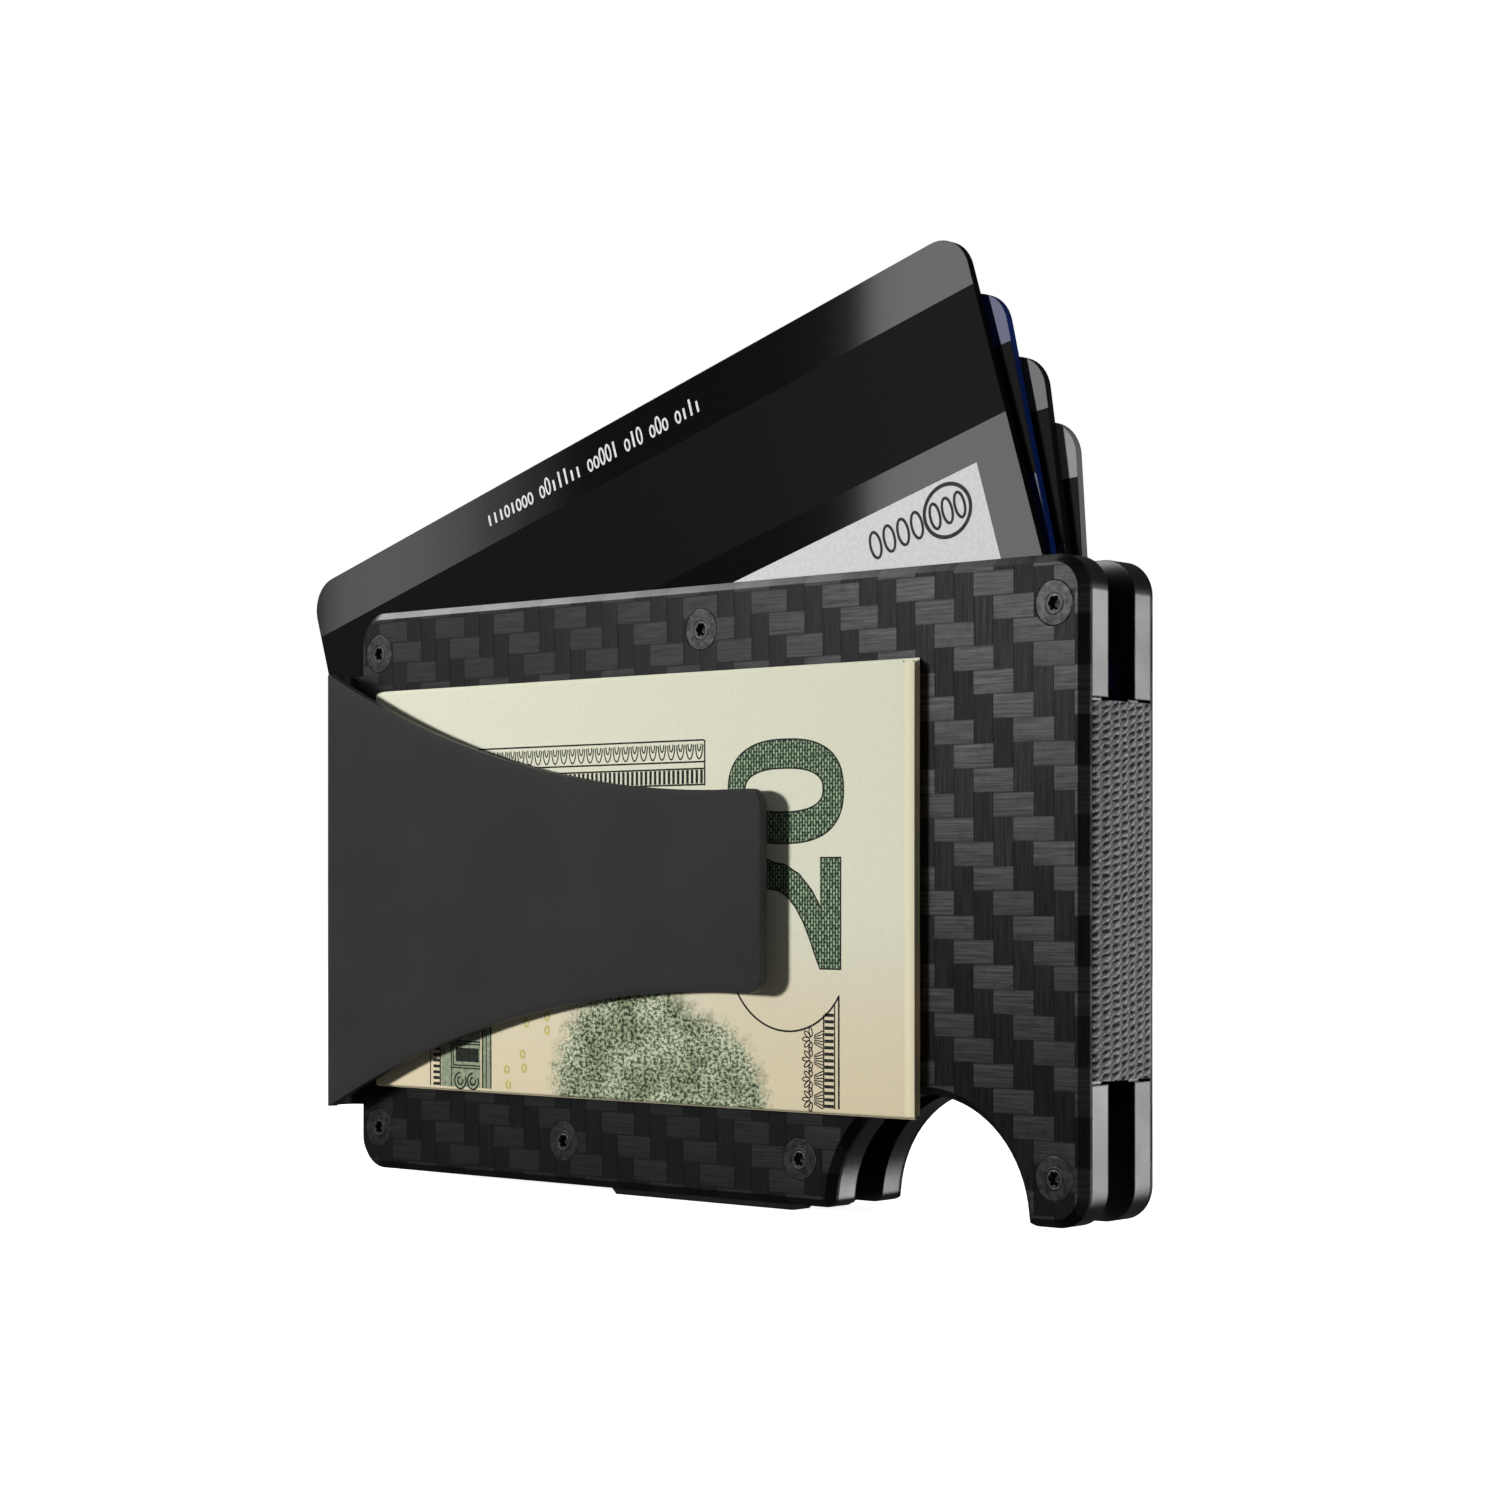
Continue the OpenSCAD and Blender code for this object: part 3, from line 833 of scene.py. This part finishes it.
def print_upper_border(lines, a0, b0, b1, teeth):
    """A frame border along b: a row of little arches between two lines, and a ladder."""
    for offset in (0.0, 1.9, 2.5, 3.9):
        lines.ribbon([(a0 - offset, b0), (a0 - offset, b1)], 0.15)
    for k in range(teeth):
        middle = b0 + (b1 - b0) * (k + 0.5) / teeth
        size = abs(b1 - b0) / teeth / 2
        lines.ribbon(arc(a0 - 0.25, middle, 1.4, size * 0.8, 95, 265, 10), 0.12)
        lines.ribbon(arc(a0 - 0.25, middle, 0.7, size * 0.4, 95, 265, 8), 0.12)
        for part in (-0.25, 0.25):
            at = middle + part * 2 * size
            lines.ribbon([(a0 - 2.6, at), (a0 - 3.8, at)], 0.28)
    lines.ribbon([(a0, b0 - 0.1), (a0 - 4.0, b0 - 0.1)], 0.15)


def print_lower_border(lines):
    """Under the round frame: two lines, a ladder, a third line and a row of flowers."""
    lines.ribbon([(-18.4, 0.35), (-8.8, 0.35)], 0.17)
    lines.ribbon([(-18.4, 0.8), (-9.6, 0.8)], 0.12)
    lines.ribbon([(-18.4, 2.0), (-10.5, 2.0)], 0.13)
    for k in range(15):
        at = -18.2 + k * LADDER_PITCH
        lines.ribbon([(at, 0.9), (at, 1.9)], 0.28)
    for k in range(4):
        at = -17.7 + k * 1.7
        for turn in (-78, -39, 0, 39, 78):
            t = math.radians(turn)
            petal = arc(0.65, 0, 0.4, 0.17, 0, 360, 14)[:-1]
            leaf = [(at + far * math.sin(t) + off * math.cos(t), 3.3 + far * math.cos(t) - off * math.sin(t))
                    for far, off in petal]
            lines.ribbon(leaf, 0.1, True)
        for spread in (-0.75, -0.45, -0.15, 0.15, 0.45, 0.75):
            lines.ribbon([(at + spread * 0.45, 3.05), (at + spread, 2.1)], 0.1)
    # the round frame beside the figures
    lines.ribbon(arc(-5.3, 6.0, 6.7, 6.7, 108, 238, 48), 0.17)


def print_left_column(lines, shades):
    """A ladder, dark plaques with a dome above and scrolls below, and a shaded border."""
    shades.box(COLUMN_LEFT, 42.2, COLUMN_RIGHT, 43.3)
    shades.box(COLUMN_LEFT, 43.7, COLUMN_RIGHT, 49.0)
    for b, wide in ((50.5, 0.12), (49.15, 0.16), (47.6, 0.12), (43.4, 0.18), (42.9, 0.12), (42.3, 0.14)):
        lines.ribbon([(COLUMN_LEFT, b), (COLUMN_RIGHT, b)], wide)
    for k in range(49):
        at = -18.3 + k * LADDER_PITCH
        lines.ribbon([(at, 49.25), (at, 50.1)], 0.28)
    for k in range(4):
        at = -16.1 + k * 6.6
        lines.box(at, 43.9, at + 1.3, 47.0)
        for grow in (0.35, 0.6):
            lines.ribbon([(at - grow, 43.7), (at - grow, 47.0 + grow), (at + 1.3 + grow, 47.0 + grow),
                          (at + 1.3 + grow, 43.7)], 0.13)
        for reach in (1.2, 1.6, 1.9):
            lines.ribbon(arc(at + 4.5, 45.4, reach, reach * 1.2, 95, 265, 20), 0.45 if reach < 1.5 else 0.14)
        for cb in (44.7, 46.4):
            for reach in (0.35, 0.75):
                lines.ribbon(arc(at - 1.8, cb, reach, reach, 0, 300, 18), 0.18)


def banknote_print(green, black, shade, yellow):
    y = NOTE_FRONT_Y - PRINT_LIFT
    numerals = Print(y, note_place)
    outlines = Print(y - PRINT_STEP, note_place)
    print_figures(numerals, outlines)
    lines = Print(y, note_place)
    print_upper_border(lines, 13.2, 15.6, 48.8, 30)
    print_lower_border(lines)
    shades = Print(y + PRINT_STEP, note_place)
    print_left_column(lines, shades)
    marks = Print(y, note_place)
    for a, b in ((-16.6, 40.2), (-18.0, 40.0), (-15.1, 38.1), (-16.4, 37.9), (-12.2, 37.6),
                 (-11.6, 34.9), (-12.8, 34.9)):
        marks.ribbon(arc(a, b, 0.34, 0.27, 0, 360, 16)[:-1], 0.17, True)
    marks.build("banknote_marks", yellow, "notes")
    shades.build("banknote_shades", shade, "notes")
    numerals.build("banknote_figures", green, "notes")
    outlines.build("banknote_figure_outlines", black, "notes")
    lines.build("banknote_borders", black, "notes")


# ---------------------------------------------------------------- cards


def card_place(number):
    """The place function for print on a card, with lengths in millimetres."""
    cx, cz, degrees = CARD_PLACE[number]
    c, s = math.cos(math.radians(degrees)), math.sin(math.radians(degrees))

    def place(a, b):
        """a is measured to the left from the card's right edge, and b down from its top."""
        u, v = CARD_L / MM / 2 - a, CARD_H / MM / 2 - b
        return (cx + u * c - v * s) * MM, (cz + u * s + v * c) * MM

    return place


def card_print(number, pale, dark):
    """A line of rings and bars that spells nothing, and zeros on the panel."""
    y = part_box(f"card_{number}")[0][1] - PRINT_LIFT
    words = Print(y, card_place(number))
    at, base, pitch = 59.4, 3.3, 0.82
    for signs in (8, 7, 5, 3, 3, 4):
        for _ in range(signs):
            tall = random.choice((1.05, 1.05, 1.55))
            if random.random() < 0.55:
                words.ribbon(arc(at, base - tall / 2, 0.28, tall / 2, 0, 360, 14)[:-1], 0.2, True)
            else:
                words.box(at - 0.13, base - tall, at + 0.13, base)
            at -= pitch
        at -= pitch
    words.build(f"card_{number}_line", pale, f"card_{number}")
    digits = Print(y, card_place(number))
    middle = 22.1
    for k in range(4):
        digits.ribbon(arc(16.0 - k * 1.55, middle, 0.56, 1.15, 0, 360, 28)[:-1], 0.26, True)
    for k in range(3):
        digits.ribbon(arc(9.35 - k * 1.35, middle, 0.5, 1.1, 0, 360, 28)[:-1], 0.26, True)
    digits.ribbon(arc(8.0, middle, 2.45, 2.2, 0, 360, 48)[:-1], 0.34, True)
    digits.build(f"card_{number}_digits", dark, f"card_{number}")


# ---------------------------------------------------------------- building

weave = weave_material()
inner = inner_plate_material()
steel = screw_material()
for plate in ("front_outer_plate", "rear_outer_plate"):
    paint(plate, weave)
for plate in ("front_inner_plate", "rear_inner_plate"):
    paint(plate, inner)
for group in ("front_screws", "clip_screws", "rear_screws"):
    paint(group, steel)

# each card's material name, then the colours of its body, top band, stripe, edge and panel
card_looks = {
    1: ("card_dark", grey(0.003), grey(0.003), grey(0.004), grey(0.004), (0.74, 0.74, 0.74, 1)),
    2: ("card_blue", (0.006, 0.012, 0.07, 1), (0.014, 0.025, 0.12, 1), grey(0.004), (0.006, 0.02, 0.12, 1),
        (0.7, 0.72, 0.8, 1)),
    3: ("card_grey", grey(0.02), grey(0.045), grey(0.005), grey(0.008), (0.6, 0.6, 0.6, 1)),
    4: ("card_light", grey(0.12), grey(0.18), grey(0.008), grey(0.2), (0.8, 0.8, 0.8, 1)),
}
for card_number, look in card_looks.items():
    paint(f"card_{card_number}", card_material(look[0], card_number, *look[1:]))

pale_ink = ink_material("pale_ink", grey(0.8), grey(0.7), 0)
dark_ink = ink_material("dark_ink", grey(0.05), grey(0.035), 0)
green_ink = ink_material("green_ink", (0.03, 0.066, 0.038, 1), (0.01, 0.026, 0.016, 1), 3300)
black_ink = ink_material("black_ink", (0.03, 0.035, 0.027, 1), grey(0.015), 0)
shade_ink = ink_material("shade_ink", (0.34, 0.38, 0.27, 1), (0.2, 0.24, 0.16, 1), 0)
yellow_ink = ink_material("yellow_ink", (0.6, 0.55, 0.16, 1), (0.5, 0.45, 0.12, 1), 0)
for card_number in (1, 4):
    card_print(card_number, pale_ink, dark_ink)

elastic_band(band_material())
money_clip(clip_material())
paper = paper_material()
for note_number in (1, 2, 3):
    folded_note(note_number, paper)
banknote_print(green_ink, black_ink, shade_ink, yellow_ink)

# ---------------------------------------------------------------- stage, light and camera


def area_light(name, place, target, size, power, colour=(1, 1, 1)):
    """A flat lamp at place that faces target, size metres wide and high, of power watts."""
    data = bpy.data.lights.new(name, "AREA")
    data.shape = "RECTANGLE"
    data.size, data.size_y = size
    data.energy = power
    data.color = colour
    made = bpy.data.objects.new(name, data)
    made.location = place
    way = Vector(target) - Vector(place)
    made.rotation_euler = way.to_track_quat("-Z", "Y").to_euler()
    bpy.context.collection.objects.link(made)
    return made


def white_floor():
    """A plain pale floor that glows towards its rim, so that it meets the background."""
    bpy.ops.mesh.primitive_circle_add(vertices=96, radius=6, fill_type="NGON", location=(0, 0, FLOOR_Z))
    floor = bpy.context.object
    floor.name = "floor"
    s = Shader("floor_white", Roughness=0.9, Base_Color=grey(0.85), Specular_IOR_Level=0.0)
    s.set("Emission Color", grey(1.0))
    x, y, _ = s.axes()
    away = s.math("SQRT", s.math("ADD", s.math("POWER", x, 2.0), s.math("POWER", y, 2.0)))
    glow = s.node("MapRange")
    for socket, value in zip(glow.inputs, (away, 0.2, 0.6, 0.93, 1.05)):
        s.plug(socket, value)
    s.set("Emission Strength", glow.outputs[0])
    floor.data.materials.append(s.material)
    floor.visible_glossy = False
    floor.visible_diffuse = False
    floor.visible_shadow = False


def studio_world():
    """White behind everything, and a dim even light on the object."""
    world = bpy.data.worlds.new("studio")
    bpy.context.scene.world = world
    world.use_nodes = True
    tree = world.node_tree
    tree.nodes.clear()
    output = tree.nodes.new("ShaderNodeOutputWorld")
    mix = tree.nodes.new("ShaderNodeMixShader")
    seen = tree.nodes.new("ShaderNodeBackground")
    seen.inputs[0].default_value = (1, 1, 1, 1)
    felt = tree.nodes.new("ShaderNodeBackground")
    felt.inputs[0].default_value = (0.55, 0.56, 0.58, 1)
    felt.inputs[1].default_value = 0.09
    ray = tree.nodes.new("ShaderNodeLightPath")
    tree.links.new(ray.outputs["Is Camera Ray"], mix.inputs[0])
    tree.links.new(felt.outputs[0], mix.inputs[1])
    tree.links.new(seen.outputs[0], mix.inputs[2])
    tree.links.new(mix.outputs[0], output.inputs[0])


white_floor()
studio_world()
MIDDLE = (0, FRONT_Y / 2, 0)
# upright strips of light that show only as reflections
STRIP_Y = -0.3
STRIP_BOTTOM = 0.01
STRIP_TOP = 0.36
for name, left, right, power in (
    ("strip_left_1", -0.39, -0.35, 0.08),
    ("strip_left_2", -0.35, -0.336, 0.022),
    ("strip_left_3", -0.336, -0.322, 0.012),
    ("strip_left_4", -0.322, -0.308, 0.005),
    ("strip_right", -0.217, -0.12, 0.37),
):
    middle = ((left + right) / 2, STRIP_Y, (STRIP_BOTTOM + STRIP_TOP) / 2)
    size = (right - left, STRIP_TOP - STRIP_BOTTOM)
    strip = area_light(name, middle, (middle[0], 0, middle[2]), size, power)
    strip.visible_diffuse = False
# the lights hidden from gloss leave no bright spots on the plates
key = area_light("key", (-0.302, -0.465, 0.078), MIDDLE, (0.07, 0.07), 3.2, (1.0, 0.99, 0.97))
key.visible_glossy = False
area_light("top_left", (-0.4, 0.0, 0.42), MIDDLE, (0.2, 0.2), 1.2)
area_light("right_back", (0.34, 0.32, -0.09), (PLATE_X, 0, -0.09), (0.16, 0.38), 0.65)
area_light("right_side", (0.5, -0.06, -0.03), (PLATE_X, 0, -0.03), (0.1, 0.26), 0.7)
back = area_light("back", (-0.1, 0.55, 0.25), MIDDLE, (0.4, 0.3), 1.4)
back.visible_glossy = False

# the camera stands level, to the right of the wallet's front
CAMERA_AZIMUTH = math.radians(41.0)
camera_data = bpy.data.cameras.new("camera")
camera_data.lens = 72.08
camera_data.sensor_width = 36
camera_data.shift_y = 0.0925
camera_data.clip_start = 0.01
camera_data.clip_end = 50
camera = bpy.data.objects.new("camera", camera_data)
camera.location = (0.17901, FRONT_Y - 0.19692, 0.00017)
camera.rotation_euler = (math.pi / 2, 0, CAMERA_AZIMUTH)
bpy.context.collection.objects.link(camera)
bpy.context.scene.camera = camera
bpy.context.scene.view_settings.view_transform = "Standard"
